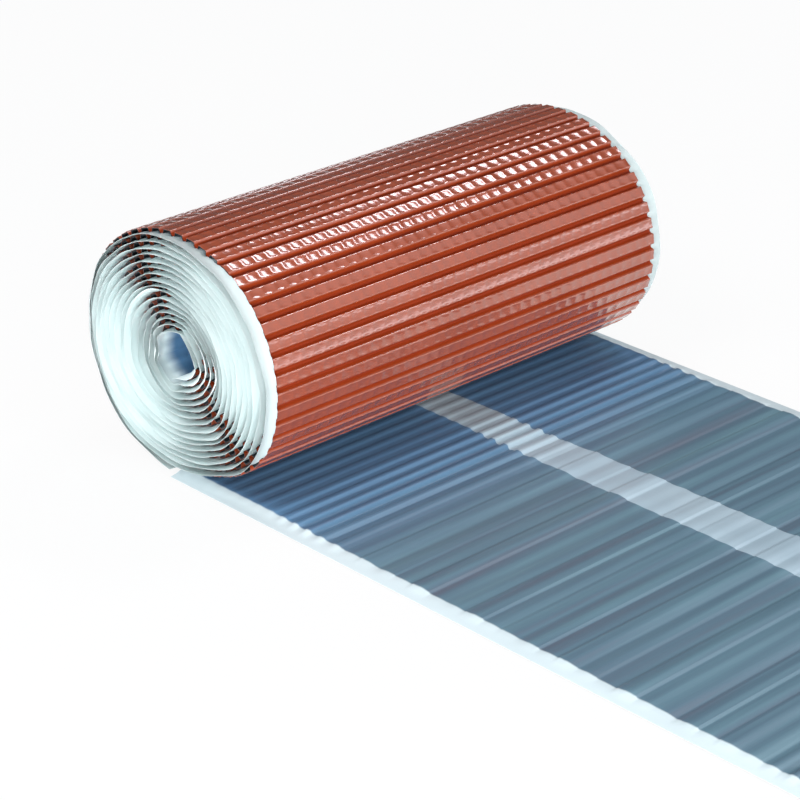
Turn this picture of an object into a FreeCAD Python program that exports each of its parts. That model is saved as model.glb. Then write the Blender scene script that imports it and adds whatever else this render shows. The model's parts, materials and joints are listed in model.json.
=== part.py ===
"""Roll of crimped aluminium roof flashing with a butyl back and a split release film.

The strip is one length of stock. Most of it is wound into a roll that lies on its side, painted
face out, and the free end runs off flat from under the roll, film side up.
X runs along the roll, the free end runs towards -Y, and Z is up. The origin is on the floor,
under the axis of the roll and at the middle of its width. All sizes are in millimetres.
"""
import FreeCAD, Part
import math
import os

# Strip and the layers on its back
strip_width = 300.0
foil_thickness = 0.15
butyl_thickness = 0.45
film_thickness = 0.1
film_margin = 10.0
film_overlap = 28.0

# Crimp across the strip, as it leaves the rollers
crest_land = 4.6
root_land = 2.4
flank_run = 1.35
crimp_depth = 2.75
hollow_fill = 0.4

# Winding, which has sagged into an oval and bulges low down on the side of the free end
turns = 16
bore_radius = 12.0
winding_clearance = 0.25
sag = 4.5
bulge_height = 2.9
bulge_angle = math.radians(310)
bulge_sharpness = 8.4
film_bends_per_turn = 18

# Free end: crimps as made, then a stretch pulled flatter by hand, then crimps as made
crimps_free = 56
crimps_before_stretch = 11
crimps_stretched = 26
crimps_easing = 3
stretched_depth = 1.1
depth_unevenness = 0.5

# Worked out from the sizes above
crimp_pitch = crest_land + root_land + 2 * flank_run
flank_length = math.hypot(flank_run, crimp_depth)
back_depth = crimp_depth + foil_thickness + butyl_thickness
stack_height = back_depth + 2 * film_thickness
turn_pitch = stack_height + winding_clearance
inner_radius = bore_radius + stack_height
outer_radius = inner_radius + turns * turn_pitch
axis_height = outer_radius - sag
half_width = strip_width / 2
film_edge = half_width + film_margin


def bulge_at(angle):
    """How far the outermost turn bulges at an angle from the foot: most at bulge_angle, 0 at the foot."""
    foot = math.exp(bulge_sharpness * (math.cos(bulge_angle) - 1))
    here = math.exp(bulge_sharpness * (math.cos(angle - bulge_angle) - 1))
    return bulge_height * (here - foot) / (1 - foot)


def coil_point(angle, depth):
    """A point of the winding as (y, z): angle from the foot of the roll, depth inwards from the crests."""
    radius = outer_radius - turn_pitch * angle / (2 * math.pi)
    share = (radius - inner_radius) / (outer_radius - inner_radius)
    half_breadth = radius + sag * share
    half_height = radius - sag * share
    normal_y = math.sin(angle) / half_breadth
    normal_z = -math.cos(angle) / half_height
    scale = (depth - bulge_at(angle) * share) / math.hypot(normal_y, normal_z)
    y = half_breadth * math.sin(angle) - normal_y * scale
    z = axis_height - half_height * math.cos(angle) - normal_z * scale
    return (y, z)


def even_angles(count):
    """Angles of count + 1 stations round the outermost turn, with equal lengths of strip between them."""
    steps = 3600
    full_turn = 2 * math.pi
    fine = [coil_point(full_turn * i / steps, 0.0) for i in range(steps + 1)]
    walked = [0.0]
    for before, after in zip(fine, fine[1:]):
        walked.append(walked[-1] + math.dist(before, after))
    angles = []
    i = 0
    for station in range(count + 1):
        target = walked[-1] * station / count
        while i < steps - 1 and walked[i + 1] < target:
            i += 1
        share = (target - walked[i]) / (walked[i + 1] - walked[i])
        angles.append(full_turn * (i + share) / steps)
    return angles, walked[-1]


def crimp_points(depth, run, offset, fill):
    """The four corners of one crimp as (along, up), from the middle of a crest to the middle of the next.

    Crests are down and roots are up. offset is the distance from the painted face, and fill
    raises the bottom of the hollow over each crest.
    """
    pitch = crest_land + root_land + 2 * run
    inset = offset * math.tan(math.atan2(depth, run) / 2)
    raised = fill * depth / crimp_depth
    crest_edge = crest_land / 2 - inset + raised * run / depth
    root_edge = (pitch - root_land) / 2 - inset
    return [
        (crest_edge, offset + raised),
        (root_edge, offset + depth),
        (pitch - root_edge, offset + depth),
        (pitch - crest_edge, offset + raised),
    ]


def free_crimps():
    """Depth and flank run of each crimp of the free end, starting at the roll."""
    crimps = []
    for i in range(crimps_free):
        place = i - crimps_before_stretch
        left = crimps_stretched - place
        pull = max(0.0, min(1.0, (place + 1) / crimps_easing, left / crimps_easing))
        uneven = depth_unevenness * math.sin(2.3 * place) * pull
        depth = crimp_depth + (stretched_depth + uneven - crimp_depth) * pull
        crimps.append((depth, math.sqrt(flank_length**2 - depth**2)))
    return crimps


def free_line(crimps, offset, fill=0.0):
    """A face of the free end as (y, z) points, from its cut end to the roll, at the given offset."""
    place = 0.0
    line = []
    for depth, run in crimps:
        line += [(place - along, up) for along, up in crimp_points(depth, run, offset, fill)]
        place -= crest_land + root_land + 2 * run
    line.append((place, line[-1][1]))
    return line[::-1]


def roll_line(count, angles):
    """The painted face of the outermost turn, from the foot of the roll to where it meets the free end."""
    line = [(crest_land / 2, 0.0)]
    corners = crimp_points(crimp_depth, flank_run, 0.0, 0.0)
    for i in range(count):
        span = (angles[i + 1] - angles[i]) / crimp_pitch
        line += [coil_point(angles[i] + span * along, depth) for along, depth in corners]
    line.append(coil_point(2 * math.pi, 0.0))
    return line[:1] + line[2:]


def film_spiral(depth):
    """The margin of the film where it is wound in, from the foot of the roll to the bore."""
    count = film_bends_per_turn * turns
    return [coil_point(2 * math.pi * turns * i / count, depth) for i in range(count + 1)]


def profile_solid(line, low_x, high_x):
    """A straight solid along X whose outline is the given (y, z) points."""
    corners = [FreeCAD.Vector(low_x, y, z) for y, z in line]
    corners.append(corners[0])
    face = Part.Face(Part.makePolygon(corners))
    return face.extrude(FreeCAD.Vector(high_x - low_x, 0, 0))


def make_foil(crimps):
    """The painted aluminium: the wound turns as one solid with their bore, and the crimped free end."""
    _, walk = even_angles(1)
    count = round(walk / crimp_pitch)
    angles, _ = even_angles(count)
    painted = free_line(crimps, 0.0)
    back = free_line(crimps, foil_thickness)
    foot = [(0.0, foil_thickness)]
    foil = profile_solid(painted + roll_line(count, angles) + foot + back[::-1], -half_width, half_width)
    start = FreeCAD.Vector(-half_width, 0, axis_height)
    bore = Part.makeCylinder(bore_radius, strip_width, start, FreeCAD.Vector(1, 0, 0))
    return foil.cut(bore)


def butyl_back(crimps, lift=0.0):
    """The back of the butyl on the free end, squeezed level where the roll stands on it."""
    line = free_line(crimps, foil_thickness + butyl_thickness, hollow_fill)
    line[-1] = (0.0, back_depth)
    return [(y, z + lift) for y, z in line]


def make_butyl(crimps):
    """The adhesive on the back of the free end."""
    front = free_line(crimps, foil_thickness) + [(0.0, foil_thickness)]
    return profile_solid(front + butyl_back(crimps)[::-1], -half_width, half_width)


def make_film(crimps, outer_x, split_x, lap_x=None):
    """One half of the split release film, with its margin wound in at the end of the roll.

    outer_x is its outer edge, split_x is where the halves meet, and lap_x is how far this half
    runs on over the other.
    """
    lower = butyl_back(crimps)
    upper = butyl_back(crimps, film_thickness)
    low_x, high_x = sorted((outer_x, split_x))
    film = profile_solid(lower + upper[::-1], low_x, high_x)
    if lap_x is not None:
        top = butyl_back(crimps, 2 * film_thickness)
        lap = profile_solid(upper + top[::-1], split_x - film_thickness, lap_x)
        film = film.fuse(lap)
    roll_end = math.copysign(half_width, outer_x)
    low_x, high_x = sorted((outer_x, roll_end))
    spiral = film_spiral(back_depth) + film_spiral(back_depth + film_thickness)[::-1]
    return film.fuse(profile_solid(spiral, low_x, high_x)).removeSplitter()


def strip_length():
    """Length of the strip in the roll and in the free end, before any stretching."""
    middle = crimp_depth / 2
    wound = math.pi * turns * (outer_radius + inner_radius - 2 * middle)
    return wound, crimps_free * crimp_pitch


def main():
    os.makedirs("parts", exist_ok=True)
    crimps = free_crimps()
    pieces = {
        "crimped_foil": make_foil(crimps),
        "butyl_coat": make_butyl(crimps),
        "release_film_near": make_film(crimps, -film_edge, 0.0, film_overlap),
        "release_film_far": make_film(crimps, film_edge, 0.0),
    }
    for name, shape in pieces.items():
        shape.exportStep(f"parts/{name}.step")
        box = shape.BoundBox
        print(
            f"{name}: {len(shape.Solids)} solid, {shape.Volume / 1000:.1f} cm3, valid {shape.isValid()}, "
            f"x {box.XMin:.1f} to {box.XMax:.1f}, y {box.YMin:.1f} to {box.YMax:.1f}, "
            f"z {box.ZMin:.2f} to {box.ZMax:.2f}, {len(shape.Faces)} faces"
        )
    wound, free = strip_length()
    print(f"axis {axis_height:.2f} above the floor, {wound:.0f} mm wound, {free:.0f} mm free")


main()
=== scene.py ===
# %% [markdown]
# # A roll of crimped roof flashing
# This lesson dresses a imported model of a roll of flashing: thin painted aluminium, crimped so
# that it stretches, with a sticky butyl back and a release film that is split down the middle.
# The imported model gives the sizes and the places. It could be shown as it is, but its wound
# turns are one plain solid, so the lesson winds the real layers again, crimp by crimp.

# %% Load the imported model
import json
import math

import bpy
import numpy as np
from mathutils import Matrix, Vector


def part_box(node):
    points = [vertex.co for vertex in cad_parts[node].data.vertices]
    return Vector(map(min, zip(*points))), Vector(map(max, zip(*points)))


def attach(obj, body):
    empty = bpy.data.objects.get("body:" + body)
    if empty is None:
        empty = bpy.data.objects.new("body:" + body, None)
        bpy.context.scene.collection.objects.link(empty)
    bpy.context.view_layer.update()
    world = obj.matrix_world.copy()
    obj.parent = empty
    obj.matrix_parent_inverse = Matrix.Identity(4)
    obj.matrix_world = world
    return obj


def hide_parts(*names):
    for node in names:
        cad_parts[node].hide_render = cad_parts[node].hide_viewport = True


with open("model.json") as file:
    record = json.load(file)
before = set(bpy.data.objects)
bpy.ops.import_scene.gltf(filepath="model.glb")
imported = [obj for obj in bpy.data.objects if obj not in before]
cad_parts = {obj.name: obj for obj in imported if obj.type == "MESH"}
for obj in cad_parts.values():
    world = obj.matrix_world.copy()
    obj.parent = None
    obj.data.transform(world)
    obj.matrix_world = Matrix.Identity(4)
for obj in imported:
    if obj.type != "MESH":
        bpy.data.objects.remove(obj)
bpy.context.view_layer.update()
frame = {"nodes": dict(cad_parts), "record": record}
print("nodes:", sorted(frame["nodes"]))

# %% [markdown]
# ## Sizes that come from the model
# A size that the model already holds is read from it, so that both stay the same: the height
# of the roll's axis and its bore from the mounts, and the width of the strip, its film and the
# length of the free end from the boxes of the nodes. Only the crimp and the layers are written
# here, because a box can't show them.

# %% Read the sizes
MM = 0.001
mounts = {mount["name"]: mount for mount in frame["record"]["mounts"]}
AXIS_HEIGHT = mounts["bore"]["pos_m"][2]
BORE_RADIUS = mounts["bore"]["dims"]["r_mm"] * MM
HALF_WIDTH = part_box("crimped_foil")[1].x
FREE_END = -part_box("crimped_foil")[0].y
FILM_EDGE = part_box("release_film_far")[1].x
FILM_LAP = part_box("release_film_near")[1].x
print(f"axis {AXIS_HEIGHT:.4f} m, strip {2 * HALF_WIDTH:.3f} m wide, free end {FREE_END:.3f} m")

# %% Crimp and layers
FOIL = 0.15 * MM
BUTYL = 0.45 * MM
FILM = 0.1 * MM
CREST_LAND = 4.6 * MM
ROOT_LAND = 2.4 * MM
FLANK_RUN = 1.35 * MM
CRIMP_DEPTH = 2.75 * MM
HOLLOW_FILL = 0.4 * MM
CRIMP_PITCH = CREST_LAND + ROOT_LAND + 2 * FLANK_RUN
BACK = CRIMP_DEPTH + FOIL + BUTYL
TURNS = 16
TURN_PITCH = BACK + 2 * FILM + 0.25 * MM
INNER_RADIUS = BORE_RADIUS + BACK + 2 * FILM
OUTER_RADIUS = INNER_RADIUS + TURNS * TURN_PITCH
SAG = OUTER_RADIUS - AXIS_HEIGHT
BULGE_HEIGHT = 2.9 * MM
BULGE_ANGLE = math.radians(310)
BULGE_SHARPNESS = 8.4
print(f"crimp pitch {CRIMP_PITCH / MM:.2f} mm, turn pitch {TURN_PITCH / MM:.2f} mm")

# %% [markdown]
# ## Laying a strip on a path
# Every layer of the strip follows one path: flat along the floor, then round and round the
# roll. A curve with a bevel would round off the crimps, and a modifier would bend them unevenly,
# so a function turns an angle and a depth below the painted face into a point of the roll.
# The roll has sagged into an oval, and its innermost turns have five soft corners, because a
# crimped strip folds at its crimps when it is wound this tight.

# %% The winding
CORNER_ANGLE = math.radians(72)
CORNERS_TURNED = math.radians(8)
CORNER_LEVEL = 0.9
CORNER_STRENGTH = 0.9
CORNER_FADE = 9 * MM
STATIONS_PER_RADIAN = 600


def five_corners(angle, radius):
    """How far the corners of the innermost turns stand in or out at this angle."""
    place = np.mod(angle + CORNERS_TURNED, CORNER_ANGLE) - CORNER_ANGLE / 2
    shape = math.cos(CORNER_ANGLE / 2) / np.cos(place) - CORNER_LEVEL
    return radius * shape * CORNER_STRENGTH * np.exp(-(radius - INNER_RADIUS) / CORNER_FADE)


def bulge_at(angle):
    """How far the outermost turn bulges at an angle: most at its own angle, 0 at the foot."""
    foot = math.exp(BULGE_SHARPNESS * (math.cos(BULGE_ANGLE) - 1))
    here = np.exp(BULGE_SHARPNESS * (np.cos(angle - BULGE_ANGLE) - 1))
    return BULGE_HEIGHT * (here - foot) / (1 - foot)


def roll_point(angle, depth, lean=0.0):
    """(y, z) in the roll: angle from its foot, depth inwards from the crests, lean outwards."""
    radius = OUTER_RADIUS - TURN_PITCH * angle / (2 * np.pi)
    share = (radius - INNER_RADIUS) / (OUTER_RADIUS - INNER_RADIUS)
    radius = radius + five_corners(angle, radius)
    half_breadth = radius + SAG * share
    half_height = radius - SAG * share
    normal_y = np.sin(angle) / half_breadth
    normal_z = -np.cos(angle) / half_height
    scale = (depth - lean - bulge_at(angle) * share) / np.hypot(normal_y, normal_z)
    y = half_breadth * np.sin(angle) - normal_y * scale
    z = AXIS_HEIGHT - half_height * np.cos(angle) - normal_z * scale
    return y, z


def stations_by_length(first_angle, last_angle):
    """Fine angles and the length of strip from the first to each of them."""
    count = int((last_angle - first_angle) * STATIONS_PER_RADIAN)
    angles = np.linspace(first_angle, last_angle, count)
    y, z = roll_point(angles, 0.0)
    lengths = np.concatenate([[0.0], np.cumsum(np.hypot(np.diff(y), np.diff(z)))])
    return angles, lengths


outer_angles, outer_lengths = stations_by_length(0.0, 2 * np.pi)
inner_angles, inner_lengths = stations_by_length(2 * np.pi, 2 * np.pi * TURNS)
OUTER_CRIMPS = round(outer_lengths[-1] / CRIMP_PITCH)
INNER_CRIMPS = int(inner_lengths[-1] / CRIMP_PITCH)
print(f"{OUTER_CRIMPS} crimps in the outer turn, {INNER_CRIMPS} in the turns under it")

# %% [markdown]
# ## One crimp
# A crimp has a wide flat crest on the painted side and a narrow root, joined by steep flanks.
# The fold at a crest is rounded through three points, and the fold at a root through two. A
# bevel modifier would do the same, but on a strip this long it is much slower and its width is
# harder to steer. Where a layer shows only at the ends of the roll, its folds stay sharp.

# %% Corners of a crimp
CREST_ROWS = (0.0, 0.24, 0.46, 0.66)
FOLD_SHARE = 0.15
FOLD_MIDDLE_RISE = 0.04
ROOT_FOLD_BACK = 0.22
ROOT_FOLD_DOWN = 0.14
ROOT_FOLD_ON = 0.25 * MM


def crimp(offset=0.0, fill=0.0, rounded=True, depth=CRIMP_DEPTH, run=FLANK_RUN, wider=0.0):
    """Points (along, depth) from the middle of a crest to the middle of the next.

    offset is the distance behind the painted face, fill raises the hollow over a crest, and
    wider is how much wider the crest is than it left the rollers.
    """
    pitch = CREST_LAND + ROOT_LAND + 2 * run
    run = run - 0.25 * wider
    inset = offset * math.tan(math.atan2(depth, run) / 2)
    raised = fill * depth / CRIMP_DEPTH
    crest = (CREST_LAND + wider) / 2 - inset + raised * run / depth
    root = (pitch - ROOT_LAND + 0.5 * wider) / 2 - inset
    low, high = offset + raised, offset + depth
    if not rounded:
        return np.array([(crest, low), (root, high), (pitch - root, high), (pitch - crest, low)])
    before = crest - FOLD_SHARE * math.hypot(root - crest, high - low)
    after = crest + FOLD_SHARE * (root - crest)
    middle = 0.25 * before + 0.5 * crest + 0.25 * after
    half = [(crest * share, low) for share in CREST_ROWS]
    half += [
        (before, low),
        (middle, low + FOLD_MIDDLE_RISE * (high - low)),
        (after, low + FOLD_SHARE * (high - low)),
        (root - ROOT_FOLD_BACK * (root - crest), high - ROOT_FOLD_DOWN * (high - low)),
        (root + ROOT_FOLD_ON, high),
    ]
    mirrored = [(pitch - along, up) for along, up in half[:0:-1]]
    return np.array(half + [(pitch / 2, high)] + mirrored)


def repeat_crimp(points, count, pitch):
    """Along and depth of a run of equal crimps."""
    along = (points[None, :, 0] + pitch * np.arange(count)[:, None]).ravel()
    depth = np.tile(points[:, 1], count)
    return along, depth


print("points in a rounded crimp:", len(crimp()))

# %% [markdown]
# ## From points to a closed sheet
# A thin sheet could be one surface with a Solidify modifier. Here the two faces differ, since
# the painted face is embossed and its back is not, so the mesh is built from two grids of
# points and the rims that join them. Its UV map holds the place across the strip in metres and
# the place along it in crimps, which the materials use.

# %% Sheet builder
SHARP_FROM = math.radians(50)


def grid_faces(rows, columns, first):
    """Quads of a grid of points, row by row, from the first vertex number."""
    index = first + np.arange(rows * columns).reshape(rows, columns)
    return np.stack(
        [index[:-1, :-1], index[1:, :-1], index[1:, 1:], index[:-1, 1:]], axis=-1
    ).reshape(-1, 4)


def rim_faces(front, back):
    """Faces between two runs of vertices that have the same ends, one of them maybe coarser."""
    if len(front) == len(back):
        return [list(q) for q in zip(front[:-1], front[1:], back[1:], back[:-1])]
    return [list(front) + list(back)[::-1]]


def sheet_mesh(name, front, back, front_uv, back_uv, material):
    """A closed sheet from two grids of points, shaped (rows, columns, 3)."""
    rows, columns = front.shape[:2]
    back_columns = back.shape[1]
    front_index = np.arange(rows * columns).reshape(rows, columns)
    back_index = rows * columns + np.arange(rows * back_columns).reshape(rows, back_columns)
    faces = grid_faces(rows, columns, 0).tolist()
    faces += grid_faces(rows, back_columns, rows * columns)[:, ::-1].tolist()
    faces += rim_faces(back_index[:, 0], front_index[:, 0])
    faces += rim_faces(front_index[:, -1], back_index[:, -1])
    faces += rim_faces(front_index[0], back_index[0])
    faces += rim_faces(back_index[-1], front_index[-1])
    points = np.concatenate([front.reshape(-1, 3), back.reshape(-1, 3)])
    mesh = bpy.data.meshes.new(name)
    mesh.from_pydata(points.tolist(), [], faces)
    corner_vertex = np.zeros(len(mesh.loops), int)
    mesh.loops.foreach_get("vertex_index", corner_vertex)
    uv = np.concatenate([front_uv.reshape(-1, 2), back_uv.reshape(-1, 2)])
    mesh.uv_layers.new(name="strip").uv.foreach_set("vector", uv[corner_vertex].ravel())
    mesh.polygons.foreach_set("use_smooth", [True] * len(mesh.polygons))
    mesh.set_sharp_from_angle(angle=SHARP_FROM)
    mesh.materials.append(material)
    piece = bpy.data.objects.new(name, mesh)
    bpy.context.scene.collection.objects.link(piece)
    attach(piece, "root")
    triangles = sum(len(face) - 2 for face in faces)
    print(f"{name}: {triangles} triangles")
    return piece


def strip_uv(x, crimps):
    """UV of a grid: across in metres, along in crimps."""
    across, along = np.broadcast_arrays(x, crimps)
    return np.stack([across, along], axis=-1)


# %% [markdown]
# ## Shared effects
# Grain and grime show on every finish, and bands of painted shade and sheen cross the film, so they
# are node groups. A group only gives out values and normals; the shader itself stays in each
# material.

# %% Group helpers
def new_group(name, inputs, outputs):
    """An empty shader node group with the named sockets."""
    group = bpy.data.node_groups.new(name, "ShaderNodeTree")
    for socket, kind, value in inputs:
        made = group.interface.new_socket(name=socket, in_out="INPUT", socket_type=kind)
        made.default_value = value
    for socket, kind in outputs:
        group.interface.new_socket(name=socket, in_out="OUTPUT", socket_type=kind)
    return group, group.nodes.new("NodeGroupInput"), group.nodes.new("NodeGroupOutput")


def node(tree, kind, links=None, **settings):
    """A node with its settings, and its input sockets set or linked."""
    made = tree.nodes.new(kind)
    for key, value in settings.items():
        setattr(made, key, value)
    for socket, value in (links or {}).items():
        if isinstance(value, bpy.types.NodeSocket):
            tree.links.new(value, made.inputs[socket])
        else:
            made.inputs[socket].default_value = value
    return made


def math_node(tree, operation, first, second=None):
    """The result of one sum."""
    links = {0: first} if second is None else {0: first, 1: second}
    return node(tree, "ShaderNodeMath", links, operation=operation).outputs[0]


def remap(tree, value, low, high, to_low=0.0, to_high=1.0):
    """A value moved smoothly from one range to another."""
    links = {"Value": value, "From Min": low, "From Max": high, "To Min": to_low, "To Max": to_high}
    return node(tree, "ShaderNodeMapRange", links, interpolation_type="SMOOTHSTEP").outputs["Result"]


# %% Grain group
def make_grain_group():
    """Fine grain: a normal with small bumps and a mask of uneven patches."""
    group, given, out = new_group(
        "fine_grain",
        [
            ("Scale", "NodeSocketFloat", 900.0),
            ("Strength", "NodeSocketFloat", 0.1),
            ("Patch Scale", "NodeSocketFloat", 18.0),
        ],
        [("Normal", "NodeSocketVector"), ("Patches", "NodeSocketFloat")],
    )
    place = node(group, "ShaderNodeTexCoord").outputs["Object"]
    settings = {"Vector": place, "Scale": given.outputs["Scale"], "Detail": 3.0}
    fine = node(group, "ShaderNodeTexNoise", settings).outputs["Fac"]
    settings = {"Vector": place, "Scale": given.outputs["Patch Scale"], "Detail": 4.0}
    patches = node(group, "ShaderNodeTexNoise", settings).outputs["Fac"]
    settings = {"Strength": given.outputs["Strength"], "Height": fine, "Distance": 0.1 * MM}
    grained = node(group, "ShaderNodeBump", settings).outputs["Normal"]
    group.links.new(grained, out.inputs["Normal"])
    group.links.new(patches, out.inputs["Patches"])
    return group


def make_wave_shade_group():
    """Uneven bands across the strip, long along X and narrow along Y, about 0 to 1: painted shade
    and sheen of the film's low waves.
    """
    group, _, out = new_group("painted_wave_shade", [], [("Streaks", "NodeSocketFloat")])
    place = node(group, "ShaderNodeTexCoord").outputs["Object"]
    settings = {"Vector": place, "Scale": (2.2, 75.0, 1.0)}
    drawn_out = node(group, "ShaderNodeMapping", settings).outputs["Vector"]
    settings = {"Vector": drawn_out, "Scale": 1.0, "Detail": 4.0, "Roughness": 0.62}
    wave_shade = node(group, "ShaderNodeTexNoise", settings).outputs["Fac"]
    group.links.new(wave_shade, out.inputs["Streaks"])
    return group


grain_group = make_grain_group()
wave_shade_group = make_wave_shade_group()


def add_grain(tree, scale, strength, patch_scale):
    """The grain group in a material, with its own scales and strength."""
    settings = {"Scale": scale, "Strength": strength, "Patch Scale": patch_scale}
    return node(tree, "ShaderNodeGroup", settings, node_tree=grain_group)


print("groups:", [g.name for g in bpy.data.node_groups])

# %% [markdown]
# ## Painted foil
# The face is a baked terracotta paint, smooth and glossy on the crests, so the lamps show on them
# and on every embossed oval. Along each fold the paint is painted paler, a painted highlight on the
# bend, and on the flanks and in the roots it is painted deeper, a painted shade in the hollows,
# where it is also dull. The place along the crimp comes from the UV map, so the same material fits
# every turn.

# %% Crimp mask
def crimp_place(tree):
    """Place across the strip, place along it, and distance from a crest: 0 on it, 1 on a root."""
    uv = node(tree, "ShaderNodeUVMap", uv_map="strip").outputs["UV"]
    split = node(tree, "ShaderNodeSeparateXYZ", {"Vector": uv})
    part = math_node(tree, "FRACT", split.outputs["Y"])
    centred = math_node(tree, "ABSOLUTE", math_node(tree, "SUBTRACT", part, 0.5))
    from_crest = math_node(tree, "SUBTRACT", 1.0, math_node(tree, "MULTIPLY", centred, 2.0))
    return split.outputs["X"], split.outputs["Y"], from_crest


def ramp(tree, value, stops):
    """A colour ramp from (position, colour) stops."""
    made = node(tree, "ShaderNodeValToRGB", {"Fac": value})
    elements = made.color_ramp.elements
    while len(elements) < len(stops):
        elements.new(0.5)
    for element, (position, colour) in zip(elements, stops):
        element.position = position
        element.color = (*colour, 1.0)
    return made.outputs["Color"]


def blend_colour(tree, factor, first, second, mode="MIX"):
    """Two colours mixed by a factor."""
    mixed = node(tree, "ShaderNodeMix", data_type="RGBA", blend_type=mode)
    for socket, value in ((0, factor), (6, first), (7, second)):
        if isinstance(value, bpy.types.NodeSocket):
            tree.links.new(value, mixed.inputs[socket])
        else:
            mixed.inputs[socket].default_value = value if socket == 0 else (*value, 1.0)
    return mixed.outputs[2]


def start_material(name):
    """A material with its tree and its Principled shader."""
    material = bpy.data.materials.new(name)
    material.use_nodes = True
    return material, material.node_tree, material.node_tree.nodes["Principled BSDF"]


# %% Paint material
# Paint colours across a crimp: the fold colour is a painted highlight on the bend, and the flank and
# root colours are painted shade in the hollows.
PAINT_ON_CREST = (0.305, 0.058, 0.022)
PAINT_FOLD_HIGHLIGHT = (0.36, 0.085, 0.040)
PAINT_FLANK_SHADE = (0.31, 0.042, 0.008)
PAINT_ROOT_SHADE = (0.24, 0.027, 0.005)
GLOSS_ENDS = (0.62, 0.72)


def make_paint():
    """Terracotta paint: glossy from the middle of a crest to its fold, and dull past it."""
    material, tree, shader = start_material("terracotta_paint")
    _, _, from_crest = crimp_place(tree)
    grain = add_grain(tree, 700.0, 0.1, 30.0)
    # Paler on the folds, a painted highlight, and deeper on the flanks and darkest in the roots, a
    # painted shade.
    colours = [(0.0, PAINT_ON_CREST), (0.52, PAINT_ON_CREST), (0.60, PAINT_FOLD_HIGHLIGHT)]
    colours += [(0.68, PAINT_FLANK_SHADE), (0.85, PAINT_ROOT_SHADE)]
    base = ramp(tree, from_crest, colours)
    patches = grain.outputs["Patches"]
    uneven = ramp(tree, patches, [(0.3, (0.88, 0.86, 0.84)), (0.7, (1.0, 1.0, 1.0))])
    tree.links.new(blend_colour(tree, 1.0, base, uneven, "MULTIPLY"), shader.inputs["Base Color"])
    rough = remap(tree, patches, 0.3, 0.7, 0.15, 0.23)
    dull = remap(tree, from_crest, *GLOSS_ENDS, 0.0, 0.35)
    tree.links.new(math_node(tree, "ADD", rough, dull), shader.inputs["Roughness"])
    shine = remap(tree, from_crest, *GLOSS_ENDS, 0.9, 0.1)
    tree.links.new(shine, shader.inputs["Specular IOR Level"])
    coat = remap(tree, from_crest, *GLOSS_ENDS, 1.0, 0.0)
    tree.links.new(coat, shader.inputs["Coat Weight"])
    shader.inputs["Coat Roughness"].default_value = 0.12
    tree.links.new(grain.outputs["Normal"], shader.inputs["Normal"])
    shader.inputs["IOR"].default_value = 1.5
    return material


paint = make_paint()

# %% [markdown]
# ## Butyl and film
# The butyl is a soft dark grey rubber. The film over it is a clear white plastic: where butyl backs
# it, it looks slate blue. Bands across the strip, lighter and darker, are painted shade and sheen
# that stand for the film's low waves, and they are strongest further out, where the strip was
# stretched. Beside the roll the film is painted brighter and bluer, painted light in the shade of
# the roll. Where it lies double it looks paler, and where nothing backs it, along the margins, it
# looks white. A see-through shader would need the light to find its way between two sheets that
# touch, which is slow and full of noise, so the colours are mixed by the place across the strip.
# Only the wound margins let light through, by a thin layer of subsurface, because they stand clear
# of the foil. The outermost of them stands alone, so it is a little less white than the rest, and
# its white is painted darker still, a painted shade against the wide lamp on the left.

# %% Butyl material
def make_butyl():
    """Dark rubber with a coarse grain."""
    material, tree, shader = start_material("butyl_rubber")
    grain = add_grain(tree, 400.0, 0.5, 60.0)
    shades = [(0.3, (0.008, 0.009, 0.012)), (0.7, (0.022, 0.024, 0.03))]
    shade = ramp(tree, grain.outputs["Patches"], shades)
    tree.links.new(shade, shader.inputs["Base Color"])
    tree.links.new(grain.outputs["Normal"], shader.inputs["Normal"])
    shader.inputs["Roughness"].default_value = 0.55
    return material


butyl = make_butyl()

# %% Film material
# The film colours are ramped by the bands across the strip, which are painted shade and sheen of the
# film's low waves. Beside the roll the film is painted brighter and bluer, painted light in the
# roll's shade.
FILM_OUT_WAVE_SHADED = [
    (0.3, (0.096, 0.13, 0.18)),
    (0.45, (0.09, 0.168, 0.23)),
    (0.6, (0.108, 0.21, 0.27)),
    (0.75, (0.15, 0.28, 0.34)),
]
FILM_ROLLSIDE_LIT = [(0.3, (0.064, 0.152, 0.28)), (0.7, (0.1, 0.23, 0.395))]
DOUBLE_FILM = [(0.3, (0.31, 0.425, 0.505)), (0.7, (0.38, 0.49, 0.56))]
OUT_TO_ROLLSIDE_LIT = (-16.0, -7.0)
ALONE_ENDS = (42.0, 58.0)
SHADED_WHITE = 0.92
# The outermost margin is less white: partly as a single layer, partly as painted shade against the
# wide lamp on the left.
ALONE_AND_SHADED_WHITE = 0.65


def scaled(colour, share):
    """A colour made darker by a share."""
    return tuple(share * part for part in colour)


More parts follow.
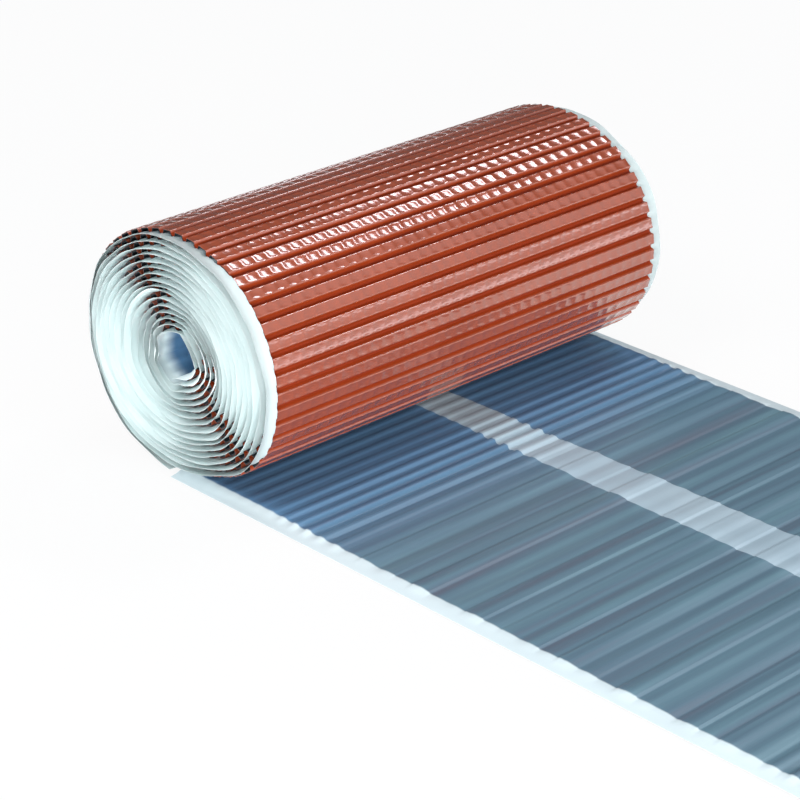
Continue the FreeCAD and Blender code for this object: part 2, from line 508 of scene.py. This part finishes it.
def make_film(name, lap, margin_from, margin_to, margin_colour, glow=0.0):
    """Film that is slate over butyl, pale where it lies double and white past the foil.

    lap is where it lies double, the white comes in between margin_from and margin_to, and glow
    is how much of the light that meets the white goes through it. Places along the strip are
    in crimps from the foot of the roll, and below 0 on the free end.
    """
    material, tree, shader = start_material(name)
    across, along, _ = crimp_place(tree)
    grain = add_grain(tree, 260.0, 0.12, 9.0)
    patches = grain.outputs["Patches"]
    # Bands of painted shade and sheen across the strip.
    wave_shade = node(tree, "ShaderNodeGroup", node_tree=wave_shade_group).outputs["Streaks"]
    out_shaded = ramp(tree, wave_shade, FILM_OUT_WAVE_SHADED)
    rollside_lit = ramp(tree, wave_shade, FILM_ROLLSIDE_LIT)
    # Brighter and bluer beside the roll: painted light in the roll's shade.
    rollside_light = remap(tree, along, *OUT_TO_ROLLSIDE_LIT)
    slate = blend_colour(tree, rollside_light, out_shaded, rollside_lit)
    pale = ramp(tree, patches, DOUBLE_FILM)
    white = ramp(tree, patches, [(0.3, scaled(margin_colour, SHADED_WHITE)), (0.7, margin_colour)])
    past_start = math_node(tree, "GREATER_THAN", across, lap[0])
    before_end = math_node(tree, "LESS_THAN", across, lap[1])
    double = math_node(tree, "MULTIPLY", past_start, before_end)
    body = blend_colour(tree, double, slate, pale)
    margin = remap(tree, math_node(tree, "ABSOLUTE", across), margin_from, margin_to)
    wound = math_node(tree, "GREATER_THAN", along, 0.0)
    # The outermost wound margin is darker, partly as a single layer and partly as painted shade.
    alone = math_node(tree, "MULTIPLY", wound, remap(tree, along, *ALONE_ENDS, 1.0, 0.0))
    white = blend_colour(tree, alone, white, scaled(margin_colour, ALONE_AND_SHADED_WHITE))
    tree.links.new(blend_colour(tree, margin, body, white), shader.inputs["Base Color"])
    tree.links.new(grain.outputs["Normal"], shader.inputs["Normal"])
    shader.inputs["Roughness"].default_value = 0.42
    tree.links.new(math_node(tree, "MULTIPLY", margin, glow), shader.inputs["Subsurface Weight"])
    shader.inputs["Subsurface Radius"].default_value = (1.0, 1.0, 1.0)
    shader.inputs["Subsurface Scale"].default_value = 0.1 * MM
    return material


WOUND_WHITE = (HALF_WIDTH - 9 * MM, HALF_WIDTH + 3 * MM)
FREE_WHITE = (HALF_WIDTH - 0.3 * MM, HALF_WIDTH + 1.2 * MM)
WOUND_MARGIN = (0.86, 0.98, 0.98)
FREE_MARGIN = (0.62, 0.73, 0.77)
NOWHERE = (1.0, 1.0)
PAST_MIDDLE = (0.0, 1.0)
wound_film = make_film("film_wound", NOWHERE, *WOUND_WHITE, WOUND_MARGIN, 1.0)
near_film = make_film("film_near", PAST_MIDDLE, *FREE_WHITE, FREE_MARGIN)
far_film = make_film("film_far", NOWHERE, *FREE_WHITE, FREE_MARGIN)
print("materials:", [m.name for m in bpy.data.materials])

# %% [markdown]
# ## The outer turn
# This is what the eye sees first: crimped foil with a chain of embossed ovals on each crest.
# The ovals could be a bump in the material, but the paint is glossy and each oval catches a
# lamp by its shape, so they are pressed into the mesh: curved along the crest and nearly level
# across it. Winding has opened the crests of this turn a little, so they are wider than in the
# turns below, and the back of the foil stays clear under the ovals. Away from the foot of the
# roll the crimps have slipped along by a fifth of a crimp, as a loose last turn does. The turn
# is made in four quarters that meet in the middle of a root, where a join doesn't show.

# %% Embossing
OVAL_PITCH = 8.66 * MM
OVAL_LENGTH = 8.5 * MM
OVAL_WIDTH = 5.3 * MM
OVAL_DEPTH = 0.36 * MM
OVAL_SLANT = math.radians(12)
UNDER_OVALS = 0.28 * MM
WIDER_CREST = 1.2 * MM


def oval_depth(from_crest, crimp_number, x):
    """Depth of the embossing at a distance from the middle of a crest and a place across."""
    shift = OVAL_PITCH * np.mod(crimp_number * 0.5, 1.0)
    along = np.mod(x + shift, OVAL_PITCH) - OVAL_PITCH / 2
    turned_along = along * math.cos(OVAL_SLANT) + from_crest * math.sin(OVAL_SLANT)
    turned_from = from_crest * math.cos(OVAL_SLANT) - along * math.sin(OVAL_SLANT)
    curved = np.clip(1.0 - (2 * turned_along / OVAL_LENGTH) ** 2, 0.0, 1.0)
    level = np.clip(1.0 - (2 * turned_from / OVAL_WIDTH) ** 4, 0.0, 1.0)
    return OVAL_DEPTH * curved * level


# %% Lay the outer turn
SLIP_PLACES = (0.0, 0.3, 0.92, 1.0)
SLIP_SIZES = (0.0, 0.2, 0.2, 0.0)


def outer_turn(offset, columns, embossed, fill=0.0):
    """Grid of points of a layer round the outer turn, with its UVs."""
    pitch = outer_lengths[-1] / OUTER_CRIMPS
    along, depth = repeat_crimp(crimp(offset, fill, wider=WIDER_CREST), OUTER_CRIMPS, pitch)
    along = np.append(along, pitch * OUTER_CRIMPS)
    depth = np.append(depth, depth[0])
    crimps = along / pitch
    along = along + pitch * np.interp(along / along[-1], SLIP_PLACES, SLIP_SIZES)
    x = np.linspace(-HALF_WIDTH, HALF_WIDTH, columns)
    depth = np.repeat(depth[:, None], columns, axis=1)
    if embossed:
        from_crest = (crimps - np.round(crimps)) * pitch
        depth = depth + oval_depth(from_crest[:, None], np.round(crimps)[:, None], x[None, :])
    angle = np.interp(along, outer_lengths, outer_angles)[:, None]
    y, z = roll_point(angle, depth)
    grid = np.stack([np.broadcast_to(x[None, :], y.shape), y, z], axis=-1)
    return grid, strip_uv(x[None, :], crimps[:, None])


OVAL_COLUMNS = 9
QUARTERS = 4
columns = int(round(2 * HALF_WIDTH / OVAL_PITCH * OVAL_COLUMNS)) + 1
painted, painted_uv = outer_turn(0.0, columns, True)
backed, backed_uv = outer_turn(FOIL, 2, False, UNDER_OVALS)
points_each = len(crimp())
crimps_before = [OUTER_CRIMPS * part // QUARTERS for part in range(1, QUARTERS)]
splits = [points_each * count + points_each // 2 for count in crimps_before]
starts, stops = [0, *splits], [*(split + 1 for split in splits), None]
outer_pieces = []
for number, (start, stop) in enumerate(zip(starts, stops), start=1):
    rows = slice(start, stop)
    grids = painted[rows], backed[rows], painted_uv[rows], backed_uv[rows]
    outer_pieces.append(sheet_mesh(f"outer_turn_{number}", *grids, paint))

# %% [markdown]
# ## The turns under it
# The wound turns show at the two ends, as rows of small crimped edges between the film. They
# are straight from end to end, so each needs only two points across, and a few thousand faces
# wind the whole strip.

# %% Lay the wound turns
def wound_layer(offset, fill=0.0):
    """Grid of points of a layer in the turns under the outer one, with its UVs."""
    along, depth = repeat_crimp(crimp(offset, fill, rounded=False), INNER_CRIMPS, CRIMP_PITCH)
    angle = np.interp(along, inner_lengths, inner_angles)
    y, z = roll_point(angle, depth)
    x = np.array([-HALF_WIDTH, HALF_WIDTH])
    grid = np.stack(np.broadcast_arrays(x[None, :], y[:, None], z[:, None]), axis=-1)
    return grid, strip_uv(x[None, :], along[:, None] / CRIMP_PITCH)


face, face_uv = wound_layer(0.0)
back, back_uv = wound_layer(FOIL)
sticky, sticky_uv = wound_layer(FOIL + BUTYL, HOLLOW_FILL)
wound_foil = sheet_mesh("wound_foil", face, back, face_uv, back_uv, paint)
wound_butyl = sheet_mesh("wound_butyl", back, sticky, back_uv, sticky_uv, butyl)
outer_sticky, outer_sticky_uv = outer_turn(FOIL + BUTYL, 2, False, HOLLOW_FILL)
outer_butyl = sheet_mesh("outer_butyl", backed, outer_sticky, backed_uv, outer_sticky_uv, butyl)

# %% [markdown]
# ## The free end
# Past the roll the strip lies flat, film up. Its first crimps are as they were made, and then
# it has been pulled by hand, which leaves shallow ripples of uneven height. The film shows them
# softer than the foil does, and lies in long low waves of its own, made from a few sines whose
# phases come from one fixed seed.

# %% Ripples of the free end
CRIMPS_BEFORE_STRETCH = 11
CRIMPS_STRETCHED = 26
CRIMPS_EASING = 3
STRETCHED_DEPTH = 1.1 * MM
DEPTH_UNEVENNESS = 0.5 * MM
UNEVEN_STEP = 2.3
BUTYL_UNDER_FILM = 0.12 * MM
FLANK_LENGTH = math.hypot(FLANK_RUN, CRIMP_DEPTH)


def free_crimps():
    """Start, depth, flank run and pull of each crimp of the free end, from the roll outwards."""
    rows = []
    start = 0.0
    number = 0
    while start < FREE_END - CRIMP_PITCH / 2:
        place = number - CRIMPS_BEFORE_STRETCH
        left = CRIMPS_STRETCHED - place
        pull = max(0.0, min(1.0, (place + 1) / CRIMPS_EASING, left / CRIMPS_EASING))
        uneven = DEPTH_UNEVENNESS * math.sin(UNEVEN_STEP * place) * pull
        depth = CRIMP_DEPTH + (STRETCHED_DEPTH + uneven - CRIMP_DEPTH) * pull
        run = math.sqrt(FLANK_LENGTH**2 - depth**2)
        rows.append((start, depth, run, pull))
        start += CREST_LAND + ROOT_LAND + 2 * run
        number += 1
    print(f"{number} crimps in the free end, {start:.3f} m long")
    return rows, start


free_rows, free_length = free_crimps()


def free_layer(offset, x, fill=0.0):
    """Grid of points of a straight layer of the free end. Rows run from the roll outwards."""
    along, height, crimps = [], [], []
    for number, (start, depth, run, _) in enumerate(free_rows):
        points = crimp(offset, fill, rounded=False, depth=depth, run=run)
        pitch = CREST_LAND + ROOT_LAND + 2 * run
        along.extend(start + points[:, 0])
        height.extend(points[:, 1])
        crimps.extend(number + points[:, 0] / pitch)
    along, height, crimps = (np.array(values)[:, None] for values in (along, height, crimps))
    grid = np.stack(np.broadcast_arrays(x[None, :], -along, height), axis=-1)
    return grid, strip_uv(x[None, :], -crimps)


ends = np.array([-HALF_WIDTH, HALF_WIDTH])
free_face, free_face_uv = free_layer(0.0, ends)
free_back, free_back_uv = free_layer(FOIL, ends)
butyl_back = FOIL + BUTYL - BUTYL_UNDER_FILM
free_sticky, free_sticky_uv = free_layer(butyl_back, ends, HOLLOW_FILL)
free_foil = sheet_mesh("free_end_foil", free_face, free_back, free_face_uv, free_back_uv, paint)
grids = free_back, free_sticky, free_back_uv, free_sticky_uv
free_butyl = sheet_mesh("free_end_butyl", *grids, butyl)

# %% [markdown]
# ## Release film
# Each half of the film covers half the strip and runs on 10 mm past the foil as a margin. In
# the roll the margins stand up between the turns like the leaves of a book. At the near end
# they have been pushed over: inwards on one side, outwards on the other, and most of all in two
# places further in. A smooth uneven wave along the strip, made from a few sines, leans them this
# way and that as well. Beside the roll and along the edges of the free end the film is taut, and
# elsewhere it sinks towards the hollows.

# %% Film in the roll
def margin_share(x):
    """0 over the foil, rising to 1 at the film's edge."""
    return np.clip((np.abs(x) - HALF_WIDTH) / (FILM_EDGE - HALF_WIDTH), 0.0, 1.0)


SLOW_WAVES = ((0.031, 0.5), (0.057, 0.7), (0.113, 0.8))


def slow_wave(length, seed):
    """A smooth uneven wave along the strip, about -1 to 1."""
    phases = np.random.default_rng(seed).uniform(0, 2 * np.pi, len(SLOW_WAVES))
    parts = [
        size * np.sin(2 * np.pi * length / reach + phase)
        for (reach, size), phase in zip(SLOW_WAVES, phases)
    ]
    return np.sum(parts, axis=0) / sum(size for _, size in SLOW_WAVES)


LEAN_PLACES = np.radians([0, 45, 90, 120, 140, 160, 180, 210, 240, 270, 300, 316, 328, 345, 360])
LEAN_OUTER = [-0.5, -4.5, -6.5, -5, -1.6, 2.3, 2.5, 3.5, 4.5, 4.5, 4, 2.2, 0, -0.5, -0.5]
LEAN_MIDDLE = [-0.5, -1, -1.5, -1.2, -0.8, 1, 2, 2.5, 2.5, 2.5, 2, 1.8, 0, -0.5, -0.5]
LEAN_INNER = [-1.5, -4, -5.5, -4.5, -2.5, 1, 3, 4.5, 6, 7, 5, 2, 0, -1, -2]
OUTER_LEAN_ENDS = 2.5
INNER_LEAN_STARTS = 9
INNER_LEAN_EASES = 3
PUSH = 2.5 * MM
PUSHED_PLACES = ((9.6, 0.9, math.radians(155), 0.6), (7.4, 0.9, math.radians(318), 0.4))


def bump(value, middle, reach):
    """1 at the middle, falling to 0 on both sides."""
    return np.exp(-(((value - middle) / reach) ** 2))


def near_lean(angle):
    """How far the near margin is pushed outwards at its edge, by place and by turn."""
    turn, place = angle / (2 * np.pi), np.mod(angle, 2 * np.pi)
    outer = np.clip(1 - turn / OUTER_LEAN_ENDS, 0, 1)
    inner = np.clip((turn - INNER_LEAN_STARTS) / INNER_LEAN_EASES, 0, 1)
    parts = ((outer, LEAN_OUTER), (1 - outer - inner, LEAN_MIDDLE), (inner, LEAN_INNER))
    lean = sum(share * np.interp(place, LEAN_PLACES, np.array(sizes) * MM) for share, sizes in parts)
    for at_turn, turns, at_place, reach in PUSHED_PLACES:
        lean = lean + PUSH * bump(turn, at_turn, turns) * bump(place, at_place, reach)
    return lean


FOLD = 3.5 * MM
FOLD_PLACES = np.radians([195, 215, 300, 315])


def near_fold(angle):
    """How far the outermost margin folds out over the hollows of the crimps."""
    return FOLD * np.interp(angle, FOLD_PLACES, [0.0, 1.0, 1.0, 0.0])


NEAR_WAVE = 0.7 * MM
FAR_WAVE = 1.3 * MM
ROLL_DIP = 0.6 * MM
EDGE_WAVE = 0.6 * MM
MOST_LEAN = 0.95


def film_in_roll(x, lift, seed, pushed):
    """Grid of points of the film from the foot of the roll to the bore, with its UVs.

    A margin that leans over is drawn in by as much, so that its width stays the same.
    """
    pitch = outer_lengths[-1] / OUTER_CRIMPS
    corners = crimp(FOIL + BUTYL, HOLLOW_FILL, rounded=False)
    first, first_depth = repeat_crimp(corners, OUTER_CRIMPS, pitch)
    more, more_depth = repeat_crimp(corners, INNER_CRIMPS, CRIMP_PITCH)
    first_angle = np.interp(first, outer_lengths, outer_angles)
    more_angle = np.interp(more, inner_lengths, inner_angles)
    angle = np.concatenate([first_angle, more_angle])
    depth = np.concatenate([first_depth, more_depth])
    length = np.concatenate([first, outer_lengths[-1] + more])
    share = margin_share(x)[None, :]
    taut = np.clip(share * 3, 0.0, 1.0)
    dip = np.maximum(depth[:, None], BACK - ROLL_DIP)
    sheet_depth = dip * (1 - taut) + BACK * taut + lift
    lean = (NEAR_WAVE if pushed else FAR_WAVE) * slow_wave(length, seed)[:, None] * share
    if pushed:
        lean = lean + near_lean(angle)[:, None] * share
    margin = FILM_EDGE - HALF_WIDTH
    drawn = margin - np.sqrt(margin**2 - np.minimum(np.abs(lean), MOST_LEAN * margin) ** 2)
    drawn = drawn + EDGE_WAVE * (1 + slow_wave(length, seed + 9)[:, None])
    if pushed:
        folded = near_fold(angle)[:, None] * np.clip(share / 0.05, 0.0, 1.0)
        lean = np.maximum(lean, folded * (1 - share) + lean * share)
    y, z = roll_point(angle[:, None], sheet_depth, lean)
    edge = x[None, :] - np.sign(x)[None, :] * share * drawn
    grid = np.stack([np.broadcast_to(edge, y.shape), y, z], axis=-1)
    return grid, strip_uv(x[None, :], length[:, None] / CRIMP_PITCH)


margin_x = np.array([0.0, 0.5, 2.0, 4.0, 6.0, 8.0, 10.0]) * MM + HALF_WIDTH
roll_x = np.concatenate([[0.0, HALF_WIDTH - 40 * MM, HALF_WIDTH - 12 * MM], margin_x])
film_pieces = []
for name, side, seed in (("film_near_wound", -1, 3), ("film_far_wound", 1, 5)):
    x = roll_x * side if side > 0 else roll_x[::-1] * side
    lower, lower_uv = film_in_roll(x, 0.0, seed, side < 0)
    upper, upper_uv = film_in_roll(x, FILM, seed, side < 0)
    film_pieces.append(sheet_mesh(name, lower, upper, lower_uv, upper_uv, wound_film))

# %% Film on the free end
FILM_STEPS = 12
WAVES = ((0.034, 0.2 * MM, 0.5), (0.051, 0.3 * MM, -0.8), (0.023, 0.1 * MM, 1.3))
WAVE_DRIFT = 0.8
DRIFT_REACH = 0.41
SPAN_SAG = 0.35
TAUT_AT_EDGE = 0.7
EDGE_REACH = 8 * MM
TAUT_AT_ROLL = 0.85
ROLL_REACH = 0.095
ROLL_FADE = 0.025
LAP_PLACES = [0.0, 0.22, 0.4]
LAP_WIDTHS = [25.0 * MM, 33.3 * MM, 34.0 * MM]
JUST_PAST_MIDDLE = 0.1 * MM
MARGIN_HEIGHT = 1.6 * MM
MARGIN_DROOP = 1.2 * MM


def film_line():
    """The film from the roll outwards, as columns of one value for each of its points.

    They are the place along, the place in crimps, the height on the butyl, the height where it
    spans the hollows, and how far the strip was pulled there.
    """
    along, crimps, height, span, pulls = [], [], [], [], []
    part = np.arange(FILM_STEPS) / FILM_STEPS
    for number, (start, depth, run, pull) in enumerate(free_rows):
        pitch = CREST_LAND + ROOT_LAND + 2 * run
        corners = crimp(FOIL + BUTYL, HOLLOW_FILL, depth=depth, run=run)
        on_butyl = np.interp(part * pitch, corners[:, 0], corners[:, 1], period=pitch)
        sunk = SPAN_SAG * np.ptp(corners[:, 1]) * (0.5 + 0.5 * np.cos(2 * np.pi * part))
        spanning = np.maximum(corners[:, 1].max() - sunk, on_butyl)
        along.extend(start + part * pitch)
        crimps.extend(number + part)
        height.extend(on_butyl)
        span.extend(spanning)
        pulls.extend([pull] * FILM_STEPS)
    return (np.array(values)[:, None] for values in (along, crimps, height, span, pulls))


def film_surface(x, lift):
    """Grid of the film on the free end, with the low waves in which it stands off the butyl."""
    dice = np.random.default_rng(11)
    along, crimps, height, span, pulls = film_line()
    past_edge = np.abs(x[None, :]) - HALF_WIDTH
    at_edge = TAUT_AT_EDGE * np.clip(past_edge / EDGE_REACH + 1, 0.0, 1.0)
    height = height + (span - height) * np.maximum(pulls, at_edge)
    next_to_roll = TAUT_AT_ROLL * np.clip((ROLL_REACH - along) / ROLL_FADE, 0.0, 1.0)
    height = height + (height.max() - height) * next_to_roll
    for reach, size, slant in WAVES:
        phase, bend = dice.uniform(0, 2 * np.pi, 2)
        drift = slant * WAVE_DRIFT * np.sin(2 * np.pi * x[None, :] / DRIFT_REACH + bend)
        height = height + pulls * size * (1 + np.sin(2 * np.pi * along / reach + phase + drift))
    lap_edge = np.interp(along, LAP_PLACES, LAP_WIDTHS)
    lap_edge = lap_edge + 0.5 * MM * np.cos(2 * np.pi * crimps) + 0.4 * MM * slow_wave(along, 21)
    is_near = x.min() < -JUST_PAST_MIDDLE
    lapped = np.where(x > JUST_PAST_MIDDLE, lap_edge / FILM_LAP, 1.0) if is_near else 1.0
    grid = np.stack(np.broadcast_arrays(x[None, :] * lapped, -along, height + lift), axis=-1).copy()
    share = margin_share(x)[None, :]
    level = MARGIN_HEIGHT - MARGIN_DROOP * share**2 + lift
    grid[..., 2] += (level - grid[..., 2]) * np.clip(share * 1.8, 0.0, 1.0)
    return grid, strip_uv(x[None, :], -crimps)


edge_x = [HALF_WIDTH - EDGE_REACH / 2, HALF_WIDTH]
body_x = np.append(np.linspace(0.0, HALF_WIDTH - EDGE_REACH, 15), edge_x)
lap_x = np.array([0.5 * MM, 10 * MM, 20 * MM, FILM_LAP])
near_x = np.concatenate([-margin_x[:0:-1], -body_x[::-1], lap_x])
near_lift = np.where(near_x > JUST_PAST_MIDDLE, FILM, 0.0)[None, :]
far_x = np.concatenate([body_x, margin_x[1:]])
for name, x, lift, finish in (
    ("film_near_free", near_x, near_lift, near_film),
    ("film_far_free", far_x, np.zeros((1, len(far_x))), far_film),
):
    lower, lower_uv = film_surface(x, lift)
    upper, upper_uv = film_surface(x, lift + FILM)
    film_pieces.append(sheet_mesh(name, lower, upper, lower_uv, upper_uv, finish))

# %% [markdown]
# ## What stands for what
# The new pieces replace the plain solids, which stay hidden in place.

# %% Replace the plain nodes
for piece in (*outer_pieces, wound_foil, free_foil):
    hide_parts("crimped_foil")
for piece in (wound_butyl, outer_butyl, free_butyl):
    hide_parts("butyl_coat")
for piece in film_pieces:
    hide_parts("release_film_near" if "near" in piece.name else "release_film_far")

# %% [markdown]
# ## Floor, light and camera
# The roll lies on a white floor that runs out of sight. To the camera the floor is almost
# white by itself, and keeps a trace of the shadow. Glossy paint mirrors the floor in front of
# the roll as nearly white and the floor behind it as dim, and it mirrors the world brighter in
# front than behind, so the crests shade off upwards. A narrow tall lamp high on the right gives
# the highlights on the upper crests, and a low strip in front those on the lower ones. A small
# low lamp fills the shade, a wide one on the left lights the near end, and one high on the left
# lights the top.

# %% Floor
FLOOR_REACH = 6.0
FLOOR_DROP = 0.05 * MM
FLOOR_SEEN = 0.9
MIRRORED_FLOOR = (0.95, 0.2)


def make_floor():
    """A large white floor just under the roll, which no pose moves."""
    material, tree, shader = start_material("floor_white")
    shader.inputs["Base Color"].default_value = (0.82, 0.83, 0.84, 1.0)
    shader.inputs["Roughness"].default_value = 0.9
    shader.inputs["Specular IOR Level"].default_value = 0.1
    glow = node(tree, "ShaderNodeEmission", {"Color": (1.0, 1.0, 1.0, 1.0), "Strength": 1.0})
    path = node(tree, "ShaderNodeLightPath")
    mix = node(tree, "ShaderNodeMixShader")
    place = node(tree, "ShaderNodeTexCoord").outputs["Object"]
    ahead = node(tree, "ShaderNodeSeparateXYZ", {"Vector": place}).outputs["Y"]
    white = remap(tree, ahead, -0.1, 0.1, *MIRRORED_FLOOR)
    mirrored = math_node(tree, "MULTIPLY", path.outputs["Is Glossy Ray"], white)
    seen = math_node(tree, "MULTIPLY", path.outputs["Is Camera Ray"], FLOOR_SEEN)
    tree.links.new(math_node(tree, "MAXIMUM", seen, mirrored), mix.inputs[0])
    tree.links.new(shader.outputs["BSDF"], mix.inputs[1])
    tree.links.new(glow.outputs["Emission"], mix.inputs[2])
    tree.links.new(mix.outputs["Shader"], tree.nodes["Material Output"].inputs["Surface"])
    mesh = bpy.data.meshes.new("floor")
    sides = ((-1, -1), (1, -1), (1, 1), (-1, 1))
    corners = [(x * FLOOR_REACH, y * FLOOR_REACH, 0) for x, y in sides]
    mesh.from_pydata(corners, [], [(0, 1, 2, 3)])
    mesh.materials.append(material)
    floor = bpy.data.objects.new("floor", mesh)
    floor.location.z = -FLOOR_DROP
    bpy.context.scene.collection.objects.link(floor)


make_floor()

# %% World and lamps
WORLD_STRENGTH = 0.5
WORLD_SEEN = 0.5
MIRRORED_WORLD = (0.3, -0.4)


def make_world():
    """A plain pale world: almost white to the camera, and to glossy paint brighter in front."""
    world = bpy.data.worlds.new("studio")
    bpy.context.scene.world = world
    world.use_nodes = True
    tree = world.node_tree
    ground = tree.nodes["Background"]
    ground.inputs["Color"].default_value = (0.94, 0.975, 1.0, 1.0)
    path = node(tree, "ShaderNodeLightPath")
    place = node(tree, "ShaderNodeTexCoord").outputs["Generated"]
    ahead = node(tree, "ShaderNodeSeparateXYZ", {"Vector": place}).outputs["Y"]
    seen = math_node(tree, "MULTIPLY", path.outputs["Is Camera Ray"], WORLD_SEEN)
    brighter = remap(tree, ahead, -0.5, -0.1, *MIRRORED_WORLD)
    mirrored = math_node(tree, "MULTIPLY", path.outputs["Is Glossy Ray"], brighter)
    change = math_node(tree, "ADD", seen, mirrored)
    tree.links.new(math_node(tree, "ADD", change, WORLD_STRENGTH), ground.inputs["Strength"])


def make_lamp(name, toward, distance, size, energy, colour=(1.0, 1.0, 1.0)):
    """A softbox that looks at the roll from a direction. size is across X and then up."""
    lamp = bpy.data.lights.new(name, "AREA")
    lamp.shape = "RECTANGLE"
    lamp.size, lamp.size_y = size
    lamp.energy = energy
    lamp.color = colour
    target = Vector((0.0, 0.0, AXIS_HEIGHT))
    back = Vector(toward).normalized()
    up = back.cross(Vector((1.0, 0.0, 0.0))).normalized()
    side = up.cross(back).normalized()
    rotation = Matrix((side, up, back)).transposed().to_4x4()
    made = bpy.data.objects.new(name, lamp)
    made.matrix_world = Matrix.Translation(target + back * distance) @ rotation
    bpy.context.scene.collection.objects.link(made)


make_world()
make_lamp("key", (0.60, 0.03, 0.80), 2.0, (0.26, 0.8), 8.0, (1.0, 0.94, 1.0))
make_lamp("front_light", (0.634, -0.765, 0.11), 1.8, (1.4, 0.22), 2.5, (1.0, 0.96, 1.0))
make_lamp("low_light", (0.1, -0.98, 0.12), 1.8, (0.5, 0.5), 10.0)
make_lamp("end_light", (-0.80, -0.58, 0.14), 1.8, (1.3, 0.5), 36.0)
make_lamp("top_light", (-0.60, 0.15, 0.79), 2.0, (1.0, 1.0), 13.0)

# %% Camera
FOCAL_PIXELS = 2702.9
PICTURE_PIXELS = 800.0
CAMERA_AT = Vector((-1.0015, -1.0376, 0.6719))
CAMERA_AZIMUTH = math.radians(-44.448)
CAMERA_ELEVATION = math.radians(25.112)
CAMERA_ROLL = math.radians(0.568)


def make_camera():
    """The camera at the photograph's viewpoint, from its azimuth, elevation and roll."""
    level = math.cos(CAMERA_ELEVATION)
    back_x = math.sin(CAMERA_AZIMUTH) * level
    back_y = -math.cos(CAMERA_AZIMUTH) * level
    back = Vector((back_x, back_y, math.sin(CAMERA_ELEVATION)))
    right = Vector((0, 0, 1)).cross(back).normalized()
    up = back.cross(right)
    turned_right = right * math.cos(CAMERA_ROLL) + up * math.sin(CAMERA_ROLL)
    turned_up = up * math.cos(CAMERA_ROLL) - right * math.sin(CAMERA_ROLL)
    data = bpy.data.cameras.new("camera")
    data.sensor_width = 36.0
    data.lens = FOCAL_PIXELS / PICTURE_PIXELS * data.sensor_width
    data.clip_start = 0.05
    data.clip_end = 50.0
    camera = bpy.data.objects.new("camera", data)
    rotation = Matrix((turned_right, turned_up, back)).transposed()
    camera.matrix_world = Matrix.Translation(CAMERA_AT) @ rotation.to_4x4()
    bpy.context.scene.collection.objects.link(camera)
    bpy.context.scene.camera = camera
    print(f"lens {data.lens:.2f} mm")


make_camera()
bpy.context.scene.view_settings.view_transform = "Standard"

# %% [markdown]
# ## Finish
# The last cell brings the scene up to date.

# %% Update the scene
bpy.context.view_layer.update()
